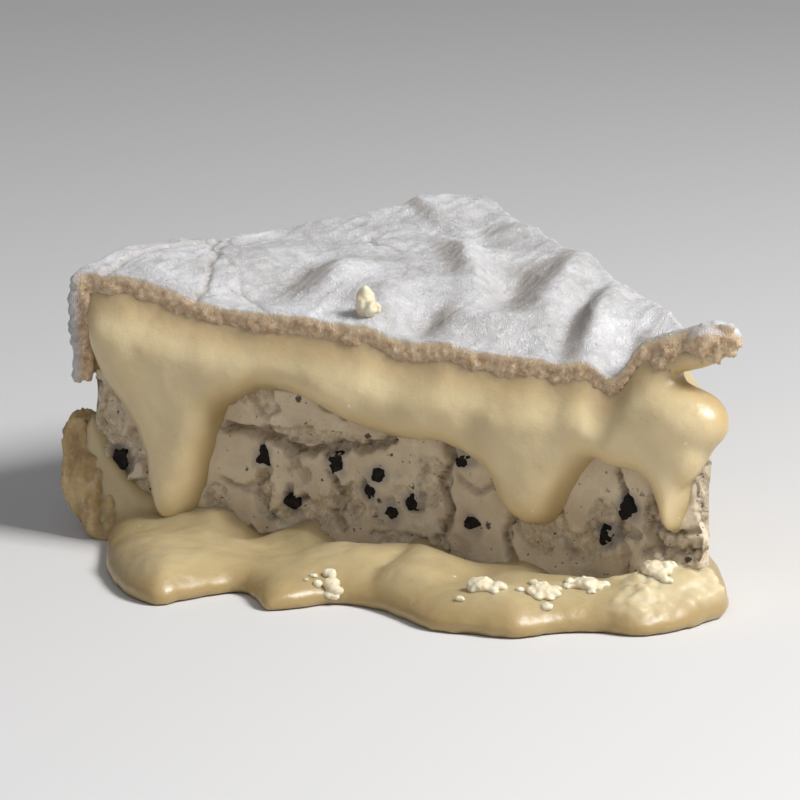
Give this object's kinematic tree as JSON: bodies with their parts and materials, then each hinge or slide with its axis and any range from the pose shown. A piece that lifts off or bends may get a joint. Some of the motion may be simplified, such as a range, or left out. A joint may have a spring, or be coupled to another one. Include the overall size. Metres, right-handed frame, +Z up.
{
  "type": "wedge of truffle-filled brie",
  "caption": "Wedge of ripe bloomy-rind brie with a layer of truffle cream filling, its paste running down the cut faces and spread around its foot.",
  "frame": {"origin": "middle of the bounding box's underside, which is under the wedge's bottom rind", "axes": "+Z up from the surface that the wedge stands on; +X along the front cut face towards the wedge's tip; +Y from the front cut face, where the paste has spread furthest, towards the back cut face"},
  "size_m": [0.1192, 0.1182, 0.0467],
  "materials": {
    "rind": "white bloomy mould rind, dry and felted, greyish in its hollows and beige on its cut edge",
    "paste": "ripe running cream-yellow paste, smooth, wet and slightly translucent",
    "filling": "grey-beige fresh cream cheese, smeared smooth in places and crumbly in others",
    "truffle": "black truffle, moist",
    "crumb": "pale cream curd"
  },
  "bodies": {
    "root": {"top_rind": "rind", "upper_paste": "paste", "truffle_filling": "filling", "lower_paste": "paste", "bottom_rind": "rind", "truffle_piece_01": "truffle", "truffle_piece_02": "truffle", "truffle_piece_03": "truffle", "truffle_piece_04": "truffle", "truffle_piece_05": "truffle", "truffle_piece_06": "truffle", "truffle_piece_07": "truffle", "truffle_piece_08": "truffle", "truffle_piece_09": "truffle", "truffle_piece_10": "truffle", "truffle_piece_11": "truffle", "truffle_piece_12": "truffle", "truffle_piece_13": "truffle", "truffle_piece_14": "truffle", "truffle_piece_15": "truffle", "truffle_piece_16": "truffle", "truffle_piece_17": "truffle", "truffle_piece_18": "truffle", "truffle_piece_19": "truffle", "truffle_piece_20": "truffle", "crumb_01": "crumb", "crumb_02": "crumb", "crumb_03": "crumb", "crumb_04": "crumb", "crumb_05": "crumb", "rind_crumb": "crumb"}
  },
  "joints": []
}
